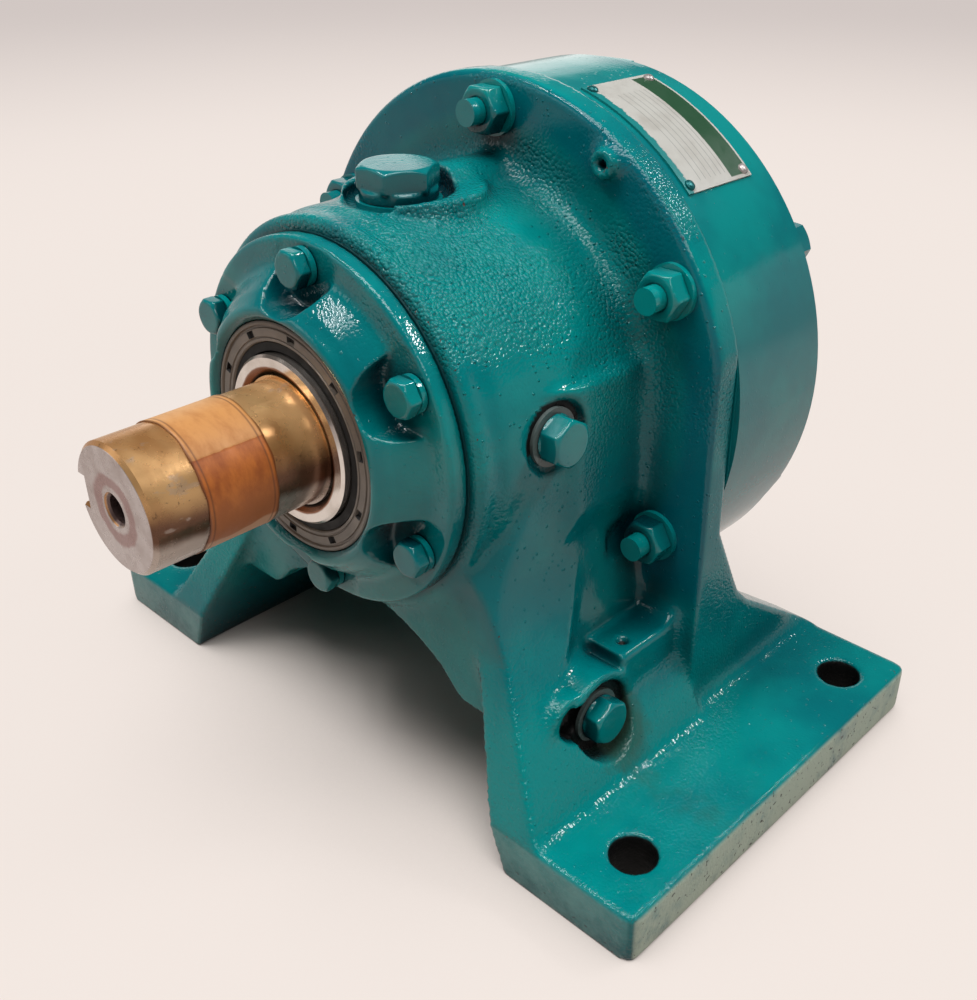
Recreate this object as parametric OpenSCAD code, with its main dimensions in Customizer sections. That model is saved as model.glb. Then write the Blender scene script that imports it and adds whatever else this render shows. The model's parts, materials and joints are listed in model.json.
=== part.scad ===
// Foot-mounted concentric-shaft cycloidal speed reducer, one stage with two cycloid discs.
// X runs across the feet, Y along the shafts with the output end at -Y, and Z is up.
// The origin is on the underside, at the centre of the four foot holes. Millimetres.

/* [Feet] */
// Height of the shaft axis above the underside of the feet
axis_height = 150; // [148:0.5:152]
// Length of each foot along the shafts
foot_length = 195; // [190:1:200]
// Width over both feet
foot_span = 330; // [324:1:336]
// Width of one foot's underside
foot_width = 62; // [58:1:66]
// Thickness of each foot
foot_thickness = 22; // [20:0.5:24]
// Foot hole spacing across the shafts
foot_hole_x = 290; // [284:1:292]
// Foot hole spacing along the shafts
foot_hole_y = 145; // [138:1:150]
// Diameter of the foot holes
foot_hole_d = 18; // [14:0.5:20]
// Radius of a foot's corners
foot_corner = 5; // [2:0.5:8]

/* [Casing] */
// Outer radius of the barrel
barrel_r = 78; // [77:0.5:80]
// Outer radius of the large rear flange
flange_r = 115; // [113:0.5:116]
// Thickness of the large rear flange
flange_t = 12.3; // [11:0.1:14]
// Place of the large flange's rear face along the axis
flange_rear_y = 18.5; // [18:0.1:19]
// Half the width of the flange between its straight sides
flange_side_x = 111; // [110:0.5:112]
// Place of the cover seat, the barrel's front face
seat_y = -80.5; // [-81:0.1:-80]
// Place of the three oil plugs along the axis
plug_y = -44; // [-45:0.5:-43]
// Height of the level plug above the shaft axis
level_rise = 7; // [5:0.5:9]
// Height of the drain plug above the underside
drain_z = 44.5; // [41:0.5:46]

/* [Output cover] */
// Outer radius of the cover's flange
cover_r = 71.7; // [71:0.1:73]
// Thickness of the cover's flange
cover_t = 7.2; // [6:0.1:8]
// Length that the hub stands in front of the seat
hub_reach = 23; // [22:0.5:24]
// Pitch radius of the cover bolts
cover_bolt_pitch_r = 62.5; // [62:0.1:63]
// Number of cover bolts
cover_bolts_n = 6; // [6]

/* [Shafts] */
// Radius of the output shaft's extension
output_r = 23.81; // [23:0.01:24]
// Place of the output shaft's end
output_end_y = -172.5; // [-175:0.5:-170]
// Width of the output keyway
output_key_w = 12.7; // [10:0.1:14]
// Radius of the input shaft's extension
input_r = 11; // [9:0.5:12]
// Place of the input shaft's end
input_end_y = 141; // [136:1:146]
// Width of the input keyway
input_key_w = 6; // [5:0.5:7]

/* [Cycloid stage] */
// Number of ring pins, one more than a disc's lobes
ring_pins_n = 18; // [18]
// Pitch radius of the ring pins
ring_pitch_r = 82; // [82]
// Radius of a ring roller
ring_roller_r = 6.5; // [6:0.1:6.5]
// Eccentricity of the cam
eccentricity = 2.7; // [2.5:0.1:2.8]
// Number of output pins
output_pins_n = 8; // [8]
// Pitch radius of the output pins
output_pitch_r = 52; // [51.5:0.1:52.5]
// Radius of an output roller
output_roller_r = 9; // [8.5:0.1:9]
// Thickness of a cycloid disc
disc_t = 16; // [15:0.5:16]
// Radial clearance between a disc and its rollers
disc_gap = 0.2; // [0.15:0.01:0.3]

/* [Through bolts] */
// Number of through bolts
through_bolts_n = 6; // [6]
// Pitch radius of the through bolts
through_pitch_r = 102; // [101.5:0.1:102.5]
// Radius of a through bolt
through_bolt_r = 5; // [4:0.5:5]

/* [Hidden] */

// Facets of large and small round forms; all of them stay true circles.
big = 96;
small = 48;
// Cut-outs run this far past the faces they open.
past = 1;

// Colours
paint = [0.05, 0.52, 0.50];
steel = [0.70, 0.70, 0.72];
dark_steel = [0.42, 0.42, 0.45];
shaft_steel = [0.66, 0.56, 0.42];
rubber = [0.12, 0.12, 0.13];
bronze = [0.72, 0.55, 0.25];
gasket_paper = [0.16, 0.16, 0.15];
plate_white = [0.86, 0.86, 0.84];

// Places along the shaft axis
flange_front_y = flange_rear_y - flange_t;
gasket_t = 0.5;
housing_front_y = flange_rear_y + gasket_t;
housing_rear_y = 67.5;
end_front_y = housing_rear_y + gasket_t;
end_rim_y = 78;
end_hub_y = 99;
cover_gasket_t = 0.8;
cover_rear_y = seat_y - cover_gasket_t;
cover_rim_y = cover_rear_y - cover_t;
hub_front_y = seat_y - hub_reach;
lip_t = 3.2;
disc_a_y = 22.5;
spacer_t = 4;
disc_b_y = disc_a_y + disc_t + spacer_t;
disc_end_y = disc_b_y + disc_t;

// Bearings as [bore radius, outer radius, width, ball radius, pitch radius, balls, front face]
front_bearing = [27.5, 50, 21, 7.14, 38.75, 10, -75.5];
rear_bearing = [32.5, 60, 23, 8.33, 46.25, 10, -30];
pilot_bearing = [10, 26, 15, 4.76, 18, 7, -3.9];
input_bearing = [15, 31, 16, 4.76, 23, 9, 69];
ball_gap = 0.12;
groove_r_over = 0.12;
// Turn that keeps the seam of a shaft's round faces away from its keyways
seam_turn = 37.5;

// Feet and legs
foot_inner_x = foot_span / 2 - foot_width;
foot_front_y = -foot_length / 2;
leg_foot_x = 95;
leg_crotch = [70.5, 75];
wall_x = 77.6;
wall_bend_r = 76.3;
wall_bend_z = 110.8;
wall_lean = 32.3;
crease_y = -77;
crease_z = 76.5;
ledge_z = 65;
ledge_x = 103.5;
ledge_front_y = -30;
side_flat_x = 80;
drain_face_x = 104.5;
nut_scoop_r = 13;
// Place of the pocket beside the drain plug, as [down, rearward] from the plug
drain_pocket = [-5, -14.5];
drain_pocket_r = 7.5;

function arc(cx, cy, r, a0, a1, n) =
    [for (i = [0 : n]) [cx + r * cos(a0 + (a1 - a0) * i / n), cy + r * sin(a0 + (a1 - a0) * i / n)]];

// ---------------------------------------------------------------- helpers

// Places children at the shaft axis.
module on_axis() {
    translate([0, 0, axis_height])
        children();
}

// Cylinder along Y from y0 to y1, about the local Y axis.
module rod(radius, y0, y1, facets = small) {
    translate([0, y0, 0])
        rotate([-90, 0, 0])
            cylinder(r = radius, h = y1 - y0, $fn = facets);
}

// Solid of revolution about the local Y axis; points are [radius, y].
module lathe(points, facets = big) {
    rotate([-90, 0, 0])
        rotate_extrude($fn = facets)
            polygon(points);
}

// Plain ring about the local Y axis.
module ring(outer, inner, y0, y1, facets = big) {
    lathe([[inner, y0], [outer, y0], [outer, y1], [inner, y1]], facets);
}

// Hexagonal bar about the local Y axis; across is its width across flats.
module hex_bar(across, y0, y1) {
    translate([0, y0, 0])
        rotate([-90, 0, 0])
            cylinder(r = across / sqrt(3), h = y1 - y0, $fn = 6);
}

// Children repeated about the shaft axis; the first stands straight up.
module around(count, pitch_r, first = 0) {
    on_axis()
        for (i = [0 : count - 1])
            rotate([0, first + i * 360 / count, 0])
                translate([0, 0, pitch_r])
                    children();
}

// Plate in the XZ plane from y0 to y1; points are [x, z].
module plate_xz(points, y0, y1) {
    translate([0, y1, 0])
        rotate([90, 0, 0])
            linear_extrude(height = y1 - y0)
                polygon(points);
}

// Plate in the YZ plane from x0 to x1; points are [y, z].
module plate_yz(points, x0, x1) {
    translate([x0, 0, 0])
        rotate([90, 0, 90])
            linear_extrude(height = x1 - x0)
                polygon(points);
}

// The same children on both sides of the shaft axis.
module both_sides() {
    children();
    mirror([1, 0, 0])
        children();
}

// ---------------------------------------------------------------- casing

// Inner edge of the right leg in the XZ plane, from the foot up to the web.
function leg_inner() = [[foot_inner_x, 0], [leg_foot_x, foot_thickness], leg_crotch];

// Edge of a foot's top between its outer part and a face that rises from it.
function foot_edge() = [[foot_inner_x + 30, 0], [foot_inner_x + 30, foot_thickness]];

// Section of the leg's leaning wall, which bends into the upright side of the barrel.
function leg_section() = concat(
    leg_inner(), [[60, 100], [60, 142], [wall_x, 142]],
    arc(wall_x + wall_bend_r, wall_bend_z, wall_bend_r, 180, 180 + wall_lean, 6),
    arc(122.6, foot_thickness + 6, 6, 180 + wall_lean, 270, 4),
    [foot_edge()[1], foot_edge()[0]]
);

// Section of the flange's straight side and of the gusset behind it.
function gusset_section() = concat(
    leg_inner(), [[leg_crotch[0], axis_height], [flange_side_x, axis_height]],
    arc(flange_side_x + 9, foot_thickness + 9, 9, 180, 270, 5),
    [foot_edge()[1], foot_edge()[0]]
);

// Web between the two legs, under the barrel.
function web_section() = [
    [0, 72], [16, 72], [26, 69.5], [37.6, 65], [49, 58.5], [56.5, 50.5], [60, 48], [66, 47],
    [84.5, 47], [leg_crotch[0] + 8, leg_crotch[1]], [72, 112], [0, 112]
];

// Side view of the leg's wall and of the web, front to flange.
function wall_side() = [
    [foot_front_y, 0], [foot_front_y, foot_thickness], [crease_y, crease_z], [crease_y, 98],
    [seat_y + 1, 112], [seat_y + 1, axis_height], [flange_front_y + 1, axis_height],
    [flange_front_y + 1, 0]
];

// Side view of the web, front to flange.
function web_side() = [
    [crease_y, 40], [crease_y, 98], [seat_y + 1, 112], [seat_y + 1, axis_height],
    [flange_front_y + 1, axis_height], [flange_front_y + 1, 40]
];

// Side view of the flange's straight side and of the gusset behind it.
function gusset_side() = [
    [flange_front_y, 0], [flange_front_y, axis_height], [flange_rear_y, axis_height],
    [flange_rear_y, 104], [33, 75], [38, 66], [46, 58], [-foot_front_y, foot_thickness],
    [-foot_front_y, 0]
];

module foot() {
    x1 = foot_span / 2;
    y1 = -foot_front_y;
    c = foot_corner;
    difference() {
        linear_extrude(height = foot_thickness)
            polygon(concat(
                [[leg_foot_x - 2, -y1], [leg_foot_x - 2, y1]],
                arc(x1 - c, y1 - c, c, 90, 0, 6),
                arc(x1 - c, -y1 + c, c, 0, -90, 6)
            ));
        plate_xz([[60, -past], [foot_inner_x, -past], [foot_inner_x, 0],
                  [leg_foot_x, foot_thickness], [leg_foot_x, foot_thickness + past],
                  [60, foot_thickness + past]], foot_front_y - past, past - foot_front_y);
    }
}

// One foot with its leaning wall, the web and the gusset behind the flange.
module leg() {
    difference() {
        union() {
            intersection() {
                plate_xz(leg_section(), foot_front_y, flange_front_y + 1);
                plate_yz(wall_side(), 0, 140);
            }
            intersection() {
                plate_xz(web_section(), seat_y, flange_front_y + 1);
                plate_yz(web_side(), -past, 140);
            }
            side_flat();
        }
        wall_recess();
        corner_cut();
    }
    difference() {
        intersection() {
            plate_xz(gusset_section(), flange_front_y, -foot_front_y);
            plate_yz(gusset_side(), 0, 140);
        }
        // Clearance for the ring gear housing behind the flange
        on_axis()
            rod(flange_r + 1, flange_rear_y, 80, big);
    }
    foot();
    ledge();
}

// Flat on the barrel's side, from the level plug back to the flange.
module side_flat() {
    intersection() {
        plate_xz([[60, 109], [wall_x, 109], [side_flat_x, 121], [side_flat_x, 171],
                  [side_flat_x - 1.5, 173], [60, 178]], -60, flange_front_y + 1);
        linear_extrude(height = 200)
            polygon([[50, -54], [73, -54], [side_flat_x + 1, -28], [side_flat_x + 1, 8], [50, 8]]);
    }
}

// Slanted cut that leads the web's front face round into the wall, above the leg's crease.
module corner_cut() {
    intersection() {
        translate([86, crease_y - 0.5, crease_z])
            rotate([0, 70.4, -42.85])
                translate([-80, -80, 0])
                    cube([160, 160, 60]);
        translate([40, -100, crease_z])
            cube([80, 100, 80]);
    }
}

// Hollow in the wall's outer face round the lower through-bolt nut.
module wall_recess() {
    intersection() {
        plate_xz([[85, ledge_z], [87.5, 50], [112, 50], [112, 106], [wall_x, 106], [79, 92],
                  [81.5, 78]], -60, flange_front_y);
        linear_extrude(height = 120)
            polygon([[76, -25], [96, -58], [113, -58], [113, flange_front_y],
                     [76, flange_front_y]]);
    }
    on_axis()
        rotate([0, 120, 0])
            translate([0, 0, through_pitch_r])
                rod(nut_scoop_r, -12, flange_front_y);
}

// Flat ledge below the lower through-bolt nut, with its fillet to the flange.
module ledge() {
    fillet = 10;
    difference() {
        union() {
            plate_xz([[82, ledge_z], [ledge_x - 1, ledge_z], [ledge_x, ledge_z - 1],
                      [ledge_x, 45], [94, 45]], ledge_front_y, flange_front_y + 1);
            plate_yz(concat(
                [[flange_front_y + 1, ledge_z - 1], [flange_front_y - fillet, ledge_z - 1]],
                arc(flange_front_y - fillet, ledge_z + fillet, fillet, 270, 360, 5),
                [[flange_front_y + 1, ledge_z + fillet]]
            ), 80, ledge_x - 1);
        }
        // Drilled mark in the ledge
        translate([95.6, -21.5, ledge_z - 3])
            cylinder(r = 2.2, h = 4, $fn = 24);
    }
}

// Outer form of the barrel and the large flange, as [radius, y].
function barrel_profile() = concat(
    [[0, seat_y], [75.5, seat_y], [77.2, seat_y + 1.5], [77.2, seat_y + 5.5]],
    [[76.6, seat_y + 6.5], [75.6, seat_y + 7.5], [75.6, seat_y + 8.5], [76.8, seat_y + 10]],
    [[barrel_r, seat_y + 13]],
    [[barrel_r + 0.6, -30]],
    arc(barrel_r + 9, flange_front_y - 8, 8, 180, 90, 5),
    [[flange_r - 2, flange_front_y], [flange_r, flange_front_y + 2], [flange_r, flange_rear_y]],
    [[0, flange_rear_y]]
);

// Bearing bores, oil space and the carrier's recess, as [radius, y].
function casing_bore() = [
    [0, seat_y - past], [50, seat_y - past], [50, -54], [45, -54], [45, -52], [67, -50],
    [67, -35], [54, -33], [54, -30], [60, -30], [60, -6.8], [62.3, -6.8], [62.3, -4.9],
    [60, -4.9], [60, -4], [71, -4], [71, flange_rear_y + past], [0, flange_rear_y + past]
];

module casing_bosses() {
    // Raised seat round the fill plug and the rib that runs back to the flange
    translate([0, plug_y + 8, axis_height + 60])
        cylinder(r = 27, h = 21, $fn = small);
    translate([0, 0, axis_height + 71])
        rod(15, plug_y + 12, flange_front_y + 1);
    // Boss of the drain plug and of the pocket beside it, standing out of the leaning wall
    intersection() {
        translate([80, plug_y, drain_z])
            rotate([0, 90, 0]) {
                cylinder(r = 19.5, h = drain_face_x - 80, $fn = small);
                translate([drain_pocket[0], drain_pocket[1], 0])
                    cylinder(r = drain_pocket_r + 4.5, h = drain_face_x - 81.5, $fn = small);
            }
        plate_xz([[leg_foot_x, foot_thickness], leg_crotch, [110, leg_crotch[1]],
                  [110, foot_thickness]], plug_y - 35, plug_y + 30);
    }
    // Hollow boss on the flange's front face
    on_axis()
        rotate([0, 32, 0])
            translate([0, 0, 107])
                rod(5.5, flange_front_y - 5, flange_front_y + 1);
}

module casing_cuts() {
    on_axis()
        lathe(casing_bore());
    // Fill plug seat and hole
    translate([0, plug_y, axis_height]) {
        translate([0, 0, 76])
            cylinder(r = 20, h = 20, $fn = small);
        cylinder(r = 10.5, h = 90, $fn = small);
    }
    // Level plug seat and hole
    translate([0, plug_y, axis_height + level_rise])
        rotate([0, 90, 0]) {
            translate([0, 0, 76])
                cylinder(r = 14.5, h = 20, $fn = small);
            cylinder(r = 6.6, h = 90, $fn = small);
        }
    // Drain plug seat with a round pocket beside it, the hole and the passage that it empties
    translate([0, plug_y, drain_z])
        rotate([0, 90, 0]) {
            translate([0, 0, 101])
                cylinder(r = 15.5, h = 40, $fn = small);
            translate([drain_pocket[0], drain_pocket[1], 92])
                cylinder(r = drain_pocket_r, h = 40, $fn = small);
            translate([0, 0, 91.5])
                cylinder(r = 6.6, h = 20, $fn = small);
        }
    translate([93, plug_y, drain_z + 3])
        rotate([0, -60.4, 0])
            cylinder(r = 3.5, h = 82, $fn = small);
    // Cover bolt threads, through-bolt holes and foot holes
    around(cover_bolts_n, cover_bolt_pitch_r)
        rod(4.05, seat_y - past, seat_y + 22);
    around(through_bolts_n, through_pitch_r)
        rod(through_bolt_r + 0.5, flange_front_y - past, flange_rear_y + past);
    on_axis()
        rotate([0, 32, 0])
            translate([0, 0, 107])
                rod(2.2, flange_front_y - 6, flange_front_y + 4, 24);
    for (x = [-foot_hole_x / 2, foot_hole_x / 2], y = [-foot_hole_y / 2, foot_hole_y / 2])
        translate([x, y, -past])
            cylinder(r = foot_hole_d / 2, h = foot_thickness + 2 * past, $fn = small);
}

module casing() {
    color(paint)
        difference() {
            union() {
                intersection() {
                    on_axis()
                        lathe(barrel_profile());
                    translate([-flange_side_x, -100, 0])
                        cube([2 * flange_side_x, 200, 300]);
                }
                both_sides()
                    leg();
                casing_bosses();
            }
            casing_cuts();
        }
}

// ---------------------------------------------------------------- output cover

// Flange, conical hub, seal bore and spigot, as [radius, y].
function cover_profile() = concat(
    [[49.9, front_bearing[6]], [49.9, cover_rear_y], [cover_r, cover_rear_y]],
    [[cover_r, cover_rim_y + 1.2], [cover_r - 1.2, cover_rim_y], [62.5, cover_rim_y]],
    [[60, cover_rim_y - 1.5], [54, hub_front_y + 5]],
    arc(47.6, hub_front_y + 3.6, 3.6, -20, -90, 4),
    [[46.8, hub_front_y], [44.4, hub_front_y + 2.4], [44.4, seal_rear_y]],
    [[38, seal_rear_y], [38, -84], [43.5, -82], [43.5, front_bearing[6]]]
);
seal_front_y = -101.5;
seal_rear_y = seal_front_y + 12;
scallop_r = 15.5;

module output_cover() {
    color(paint)
        difference() {
            on_axis()
                lathe(cover_profile());
            around(cover_bolts_n, cover_bolt_pitch_r) {
                rod(scallop_r, hub_front_y - past, cover_rim_y + 0.4);
                rod(4.6, cover_rim_y - past, cover_rear_y + past);
            }
        }
}

module cover_gasket() {
    color(gasket_paper)
        difference() {
            on_axis()
                ring(cover_r + 0.2, 50.6, cover_rear_y, seat_y);
            around(cover_bolts_n, cover_bolt_pitch_r)
                rod(4.6, cover_rear_y - past, seat_y + past);
        }
}

// Hexagon bolt about the local Y axis, with a chamfered head that ends at y_head.
module hex_bolt(radius, across, head, y_head, y_tip) {
    y_seat = y_head + head;
    corner = across / sqrt(3);
    intersection() {
        hex_bar(across, y_head, y_seat);
        lathe([[0, y_head], [across / 2 - 0.4, y_head], [corner, y_head + 1.4],
               [corner, y_seat], [0, y_seat]], small);
    }
    rod(radius, y_seat - 0.5, y_tip);
}

module cover_bolts() {
    color(paint)
        around(cover_bolts_n, cover_bolt_pitch_r)
            hex_bolt(4, 13, 5.8, cover_rim_y - 8, seat_y + 18);
}

module cover_spring_washers() {
    color(paint)
        around(cover_bolts_n, cover_bolt_pitch_r)
            ring(7.1, 4.3, cover_rim_y - 2.2, cover_rim_y, small);
}

module output_seal_case() {
    color(dark_steel)
        on_axis()
            lathe([[44.3, seal_front_y], [44.3, seal_rear_y], [42, seal_rear_y],
                   [42, seal_front_y + 4.4], [36.4, seal_front_y + 4.4],
                   [36.4, seal_front_y + 0.8], [41.6, seal_front_y + 0.8],
                   [42.2, seal_front_y]]);
}

module output_seal_lip() {
    color(rubber)
        on_axis()
            lathe([[36.3, seal_front_y + 1.2], [36.3, seal_front_y + 4.4],
                   [37.2, seal_front_y + 8], [36.6, seal_front_y + 10.5],
                   [34.4, seal_front_y + 10.5], [32.8, seal_front_y + 8.8],
                   [33.9, seal_front_y + 5.5], [33.6, seal_front_y + 3],
                   [33.2, seal_front_y + 1.2]]);
}

module output_seal_spring() {
    color(steel)
        on_axis()
            rotate([-90, 0, 0])
                rotate_extrude($fn = big)
                    translate([37.9, seal_front_y + 9.6])
                        circle(r = 0.8, $fn = 16);
}

// ---------------------------------------------------------------- ball bearings

function ball_y(b) = b[6] + b[2] / 2;

module outer_ring(b) {
    color(steel)
        on_axis()
            difference() {
                ring(b[1] - 0.02, b[4] + b[3] * 0.55, b[6], b[6] + b[2]);
                race(b);
            }
}

module inner_ring(b) {
    color(steel)
        on_axis()
            difference() {
                ring(b[4] - b[3] * 0.55, b[0] + 0.02, b[6], b[6] + b[2]);
                race(b);
            }
}

// The groove that both rings share.
module race(b) {
    translate([0, ball_y(b), 0])
        rotate([-90, 0, 0])
            rotate_extrude($fn = big)
                translate([b[4], 0])
                    circle(r = b[3] + groove_r_over, $fn = small);
}

module balls(b) {
    color(steel)
        around(b[5], b[4])
            translate([0, ball_y(b), 0])
                sphere(r = b[3], $fn = small);
}

// Machined cage with one round pocket for each ball.
module cage(b) {
    half = b[3] + ball_gap + 1.1;
    color(bronze)
        difference() {
            on_axis()
                ring(b[4] + b[3] * 0.3, b[4] - b[3] * 0.3, ball_y(b) - half, ball_y(b) + half);
            around(b[5], b[4])
                translate([0, ball_y(b), -b[3]])
                    cylinder(r = b[3] + ball_gap, h = 2 * b[3], $fn = small);
        }
}

module front_bearing_outer_ring() outer_ring(front_bearing);
module front_bearing_inner_ring() inner_ring(front_bearing);
module front_bearing_cage() cage(front_bearing);
module front_bearing_balls() balls(front_bearing);
module rear_bearing_outer_ring() outer_ring(rear_bearing);
module rear_bearing_inner_ring() inner_ring(rear_bearing);
module rear_bearing_cage() cage(rear_bearing);
module rear_bearing_balls() balls(rear_bearing);
module pilot_bearing_outer_ring() outer_ring(pilot_bearing);
module pilot_bearing_inner_ring() inner_ring(pilot_bearing);
module pilot_bearing_cage() cage(pilot_bearing);
module pilot_bearing_balls() balls(pilot_bearing);
module input_bearing_outer_ring() outer_ring(input_bearing);
module input_bearing_inner_ring() inner_ring(input_bearing);
module input_bearing_cage() cage(input_bearing);
module input_bearing_balls() balls(input_bearing);

// Internal snap ring, open at the bottom.
module snap_ring(outer, inner, y0, y1) {
    color(dark_steel)
        on_axis()
            difference() {
                ring(outer, inner, y0, y1);
                translate([-4, y0 - past, -outer - past])
                    cube([8, y1 - y0 + 2 * past, outer - inner + 2 * past + 2]);
            }
}

module rear_bearing_snap_ring() snap_ring(62.1, 57, -6.7, -5);

module input_bearing_snap_ring() snap_ring(32.6, 28.6, 67.2, 68.8);

// ---------------------------------------------------------------- ring gear

module ring_gear_housing() {
    bore = ring_pitch_r + ring_roller_r + 0.25;
    lip_r = ring_pitch_r - 2.5;
    color(paint)
        difference() {
            on_axis()
                lathe([[lip_r, housing_front_y], [113.5, housing_front_y], [113.5, housing_rear_y],
                       [lip_r, housing_rear_y], [lip_r, housing_rear_y - lip_t],
                       [bore, housing_rear_y - lip_t], [bore, housing_front_y + lip_t],
                       [lip_r, housing_front_y + lip_t]]);
            around(ring_pins_n, ring_pitch_r, 90)
                rod(4.02, housing_front_y + 0.6, housing_rear_y - 0.6);
            around(through_bolts_n, through_pitch_r)
                rod(through_bolt_r + 0.5, housing_front_y - past, housing_rear_y + past);
        }
}

module ring_pins() {
    color(steel)
        around(ring_pins_n, ring_pitch_r, 90)
            rod(4, housing_front_y + 0.8, housing_rear_y - 0.8);
}

module ring_rollers() {
    color(dark_steel)
        around(ring_pins_n, ring_pitch_r, 90)
            ring(ring_roller_r, 4.1, housing_front_y + lip_t + 0.3, housing_rear_y - lip_t - 0.3,
                 small);
}

module flat_gasket(outer, inner, y0) {
    color(gasket_paper)
        difference() {
            on_axis()
                ring(outer, inner, y0, y0 + gasket_t);
            around(through_bolts_n, through_pitch_r)
                rod(through_bolt_r + 0.5, y0 - past, y0 + gasket_t + past);
        }
}

// The front gasket follows the flange's straight sides.
module front_gasket() {
    intersection() {
        flat_gasket(113, 90, flange_rear_y);
        translate([-flange_side_x, 0, 0])
            cube([2 * flange_side_x, 40, 300]);
    }
}

module rear_gasket() flat_gasket(111.5, 90, housing_rear_y);

// ---------------------------------------------------------------- end cover

function end_cover_profile() = concat(
    [[31, 64], [42, 64], [42, 67], [79, 67], [79, end_front_y], [111, end_front_y]],
    [[112, end_front_y + 1], [112, end_rim_y - 2], [110, end_rim_y], [91, end_rim_y]],
    [[88, end_rim_y + 2], [50, end_rim_y + 11], [46, end_rim_y + 14]],
    [[45, end_hub_y - 2], [43, end_hub_y], [23.5, end_hub_y], [23.5, input_seal_y]],
    [[20, input_seal_y], [20, 87.5], [27, 87.5], [27, 85], [31, 85]],
    [[31, 68.9], [32.7, 68.9], [32.7, 67.1], [31, 67.1]]
);
input_seal_y = 90.5;

module end_cover() {
    color(paint)
        difference() {
            union() {
                on_axis()
                    lathe(end_cover_profile());
                // Ribs from the hub to the rim, one between each two bolts
                around(through_bolts_n, 0, 30)
                    plate_yz([[end_rim_y - 2, 44], [end_hub_y - 4, 44], [end_rim_y + 6, 84],
                              [end_rim_y + 2, 106], [end_rim_y - 2, 106]], -4, 4);
            }
            around(through_bolts_n, through_pitch_r)
                rod(through_bolt_r + 0.5, end_front_y - past, end_rim_y + past);
        }
}

module input_seal() {
    color(rubber)
        on_axis()
            lathe([[14.1, input_seal_y + 1], [16, input_seal_y], [23.4, input_seal_y],
                   [23.4, input_seal_y + 8], [15.5, input_seal_y + 8], [14.6, input_seal_y + 6]]);
}

// ---------------------------------------------------------------- fasteners

module through_bolts() {
    color(paint)
        around(through_bolts_n, through_pitch_r)
            mirror([0, 1, 0])
                hex_bolt(through_bolt_r, 17, 6.4, -end_rim_y - 6.4, 10);
}

module through_bolt_nuts() {
    color(paint)
        around(through_bolts_n, through_pitch_r)
            difference() {
                intersection() {
                    hex_bar(17, flange_front_y - 10.4, flange_front_y - 2);
                    lathe([[0, flange_front_y - 10.4], [8.1, flange_front_y - 10.4],
                           [9.82, flange_front_y - 9], [9.82, flange_front_y - 2],
                           [0, flange_front_y - 2]], small);
                }
                rod(through_bolt_r, flange_front_y - 11, flange_front_y);
            }
}

module through_bolt_washers() {
    color(paint)
        around(through_bolts_n, through_pitch_r)
            ring(10.5, through_bolt_r + 0.2, flange_front_y - 2, flange_front_y, small);
}

// Oil plug along +Z from its seat at z = 0: hexagon, skirt and shank.
module oil_plug(across, hex_h, skirt_r, skirt_h, shank_r, shank_l) {
    corner = across / sqrt(3);
    translate([0, 0, skirt_h])
        intersection() {
            cylinder(r = corner, h = hex_h, $fn = 6);
            rotate_extrude($fn = small)
                polygon([[0, 0], [corner, 0], [corner, hex_h - 1.4], [across / 2 - 0.4, hex_h],
                         [0, hex_h]]);
        }
    cylinder(r = skirt_r, h = skirt_h, $fn = small);
    translate([0, 0, -shank_l])
        cylinder(r = shank_r, h = shank_l, $fn = small);
}

// Sealing washer that lies under a plug, along +Z from z = 0.
module seal_washer(outer, inner, thickness) {
    rotate_extrude($fn = small)
        polygon([[inner, 0], [outer, 0], [outer, thickness], [inner, thickness]]);
}

module at_fill_plug(lift = 0) {
    translate([0, plug_y, axis_height + 76 + lift])
        children();
}

module at_level_plug(lift = 0) {
    translate([76 + lift, plug_y, axis_height + level_rise])
        rotate([0, 90, 0])
            children();
}

module at_drain_plug(lift = 0) {
    translate([101 + lift, plug_y, drain_z])
        rotate([0, 90, 0])
            children();
}

module fill_plug() {
    color(paint)
        at_fill_plug(1.6)
            oil_plug(27, 8.4, 14.6, 4, 10.4, 14);
}

module fill_plug_washer() {
    color(paint)
        at_fill_plug()
            seal_washer(15.8, 10.45, 1.6);
}

module level_plug() {
    color(paint)
        at_level_plug(1.5)
            oil_plug(17, 8.5, 9.2, 0.8, 6.5, 10);
}

module level_plug_washer() {
    color(paint)
        at_level_plug()
            seal_washer(11.2, 6.55, 1.5);
}

module drain_plug() {
    color(paint)
        at_drain_plug(1.5)
            oil_plug(17, 7.5, 9.2, 0.8, 6.5, 10);
}

module drain_plug_washer() {
    color(paint)
        at_drain_plug()
            seal_washer(11.2, 6.55, 1.5);
}

// ---------------------------------------------------------------- nameplate

plate_angle = [14.5, 45];
plate_y = [22.5, 62];

// Curved plate on the ring gear housing, between two angles from straight up.
module nameplate() {
    far = 140;
    color(plate_white)
        on_axis()
            intersection() {
                ring(114.3, 113.5, plate_y[0], plate_y[1]);
                plate_xz([[0, 0], [far * sin(plate_angle[0]), far * cos(plate_angle[0])],
                          [far * sin(30), far * cos(30)],
                          [far * sin(plate_angle[1]), far * cos(plate_angle[1])]],
                         plate_y[0] - past, plate_y[1] + past);
            }
}

module nameplate_rivets() {
    color(steel)
        on_axis()
            for (a = [plate_angle[0] + 1.6, plate_angle[1] - 1.6], y = [plate_y[0] + 3, plate_y[1] - 3])
                rotate([0, a, 0])
                    translate([0, y, 114.3])
                        rotate_extrude($fn = 24)
                            polygon([[0, 0], [2.2, 0], [2.0, 0.7], [1.2, 1.2], [0, 1.35]]);
}

// ---------------------------------------------------------------- output body

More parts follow.
